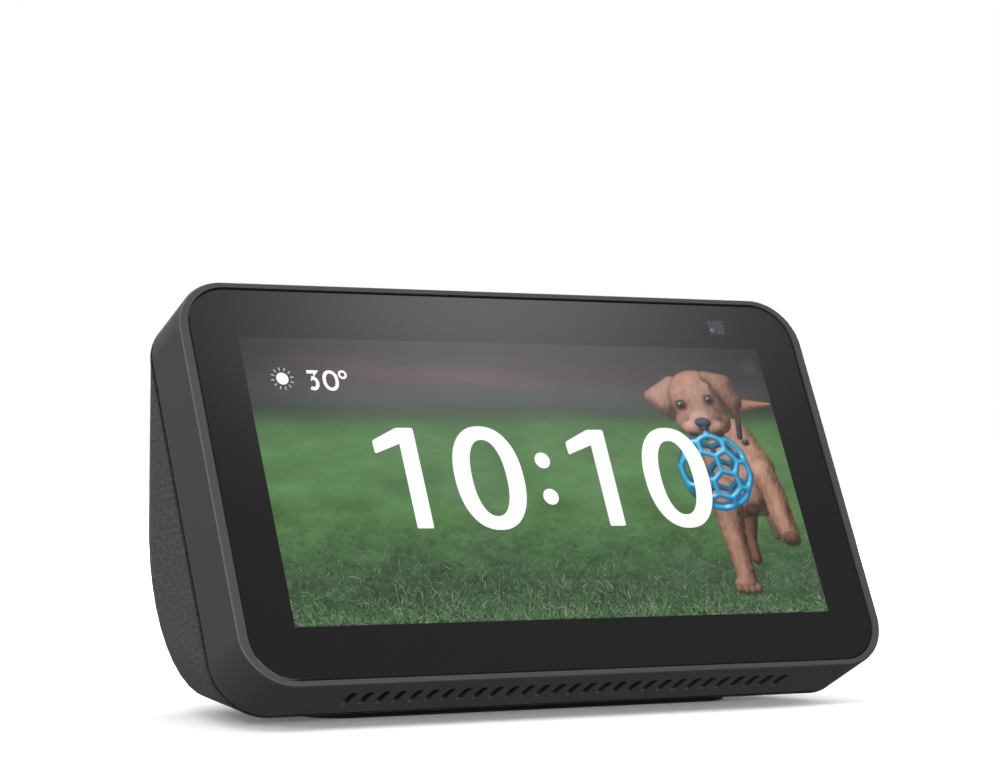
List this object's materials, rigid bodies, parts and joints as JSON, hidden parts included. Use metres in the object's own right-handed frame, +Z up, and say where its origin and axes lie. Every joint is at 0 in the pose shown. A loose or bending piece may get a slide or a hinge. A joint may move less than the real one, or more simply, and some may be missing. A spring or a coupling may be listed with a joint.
{
  "type": "smart display",
  "caption": "Small leaning smart display with a glass touch screen, fabric-covered rear body, loudspeaker, camera with sliding shutter and top buttons.",
  "frame": {"origin": "on the surface it stands on, under the middle of its overall box", "axes": "+Z up, the screen faces -Y, +X to the right of someone facing the screen"},
  "size_m": [0.148, 0.073, 0.086],
  "materials": {
    "cover_glass": "polished",
    "housing_plastic": "fine moulded texture",
    "dark_plastic": "moulded",
    "button_plastic": "fine moulded texture",
    "lcd_panel": "lit picture behind glass",
    "backlight_film": "white reflector film",
    "steel_sheet": "pressed sheet",
    "foam_gasket": "closed-cell foam",
    "mesh_cloth": "fine dust mesh",
    "flex_circuit": "polyimide film",
    "camera_black": "moulded",
    "lens_glass": "coated",
    "sensor_resin": "clear resin",
    "shutter_white": "moulded",
    "board_green": "solder mask",
    "switch_steel": "pressed",
    "mic_brass": "gold-plated can",
    "tinned_steel": "tinned",
    "thermal_gel": "soft silicone pad",
    "spreader_aluminium": "rolled sheet",
    "connector_nylon": "moulded",
    "antenna_copper": "copper foil under film",
    "basket_steel": "black coated steel",
    "magnet_steel": "zinc-plated yoke",
    "cone_paper": "coated cone",
    "coil_copper": "enamelled copper wire",
    "wire_red": "insulated wire",
    "jack_black": "moulded",
    "contact_brass": "plated",
    "socket_steel": "stamped shell",
    "woven_fabric": "charcoal knit",
    "foot_rubber": "moulded silicone",
    "screw_steel": "zinc-plated"
  },
  "bodies": {
    "body": {"front_glass": "cover_glass", "front_housing": "housing_plastic", "display_panel": "lcd_panel", "display_backlight": "backlight_film", "display_bracket": "steel_sheet", "glass_gasket": "foam_gasket", "slot_mesh": "mesh_cloth", "display_flex": "flex_circuit", "camera_module": "camera_black", "camera_lens": "lens_glass", "camera_flex": "flex_circuit", "light_sensor": "sensor_resin", "tact_switches": "switch_steel", "button_board": "board_green", "button_flex": "flex_circuit", "microphones": "mic_brass", "microphone_gaskets": "foam_gasket", "main_board": "board_green", "shield_cans": "tinned_steel", "thermal_pads": "thermal_gel", "heat_spreader": "spreader_aluminium", "board_connectors": "connector_nylon", "wifi_antennas": "antenna_copper", "speaker_box": "dark_plastic", "speaker_box_lid": "dark_plastic", "speaker_basket": "basket_steel", "speaker_magnet": "magnet_steel", "speaker_surround": "foam_gasket", "speaker_gasket": "foam_gasket", "speaker_lead": "wire_red", "io_board": "board_green", "io_ribbon": "connector_nylon", "power_jack": "jack_black", "power_jack_pin": "contact_brass", "usb_socket": "socket_steel", "usb_tongue": "jack_black", "port_panel": "dark_plastic", "rear_shell": "housing_plastic", "fabric_cover": "woven_fabric", "seam_gasket": "foam_gasket", "base_plate": "dark_plastic", "rubber_foot": "foot_rubber", "base_screws": "screw_steel", "housing_screws": "screw_steel", "bracket_screws": "screw_steel", "board_screws": "screw_steel", "button_board_screws": "screw_steel", "speaker_screws": "screw_steel", "speaker_box_screws": "screw_steel", "io_board_screws": "screw_steel"},
    "mute_button": {"mute_button": "button_plastic"},
    "volume_down_button": {"volume_down_button": "button_plastic"},
    "volume_up_button": {"volume_up_button": "button_plastic"},
    "camera_shutter": {"shutter_knob": "button_plastic", "shutter_blade": "shutter_white"},
    "cone_assembly": {"speaker_cone": "cone_paper", "dust_cap": "cone_paper", "voice_coil": "coil_copper"}
  },
  "joints": [
    {"name": "mute_button_press", "type": "slide", "parent": "body", "child": "mute_button", "axis": [0, -0.4274, -0.9041], "range_m": [0, 0.0005], "stiffness_N_per_m": 500, "springref_m": -0.001},
    {"name": "volume_down_button_press", "type": "slide", "parent": "body", "child": "volume_down_button", "axis": [0, -0.4274, -0.9041], "range_m": [0, 0.0005], "stiffness_N_per_m": 500, "springref_m": -0.001},
    {"name": "volume_up_button_press", "type": "slide", "parent": "body", "child": "volume_up_button", "axis": [0, -0.4274, -0.9041], "range_m": [0, 0.0005], "stiffness_N_per_m": 500, "springref_m": -0.001},
    {"name": "shutter_slide", "type": "slide", "parent": "body", "child": "camera_shutter", "axis": [-1, 0, 0], "range_m": [0, 0.0055]},
    {"name": "cone_travel", "type": "slide", "parent": "body", "child": "cone_assembly", "axis": [0, 1, 0], "range_m": [-0.001, 0.001], "stiffness_N_per_m": 1200}
  ]
}
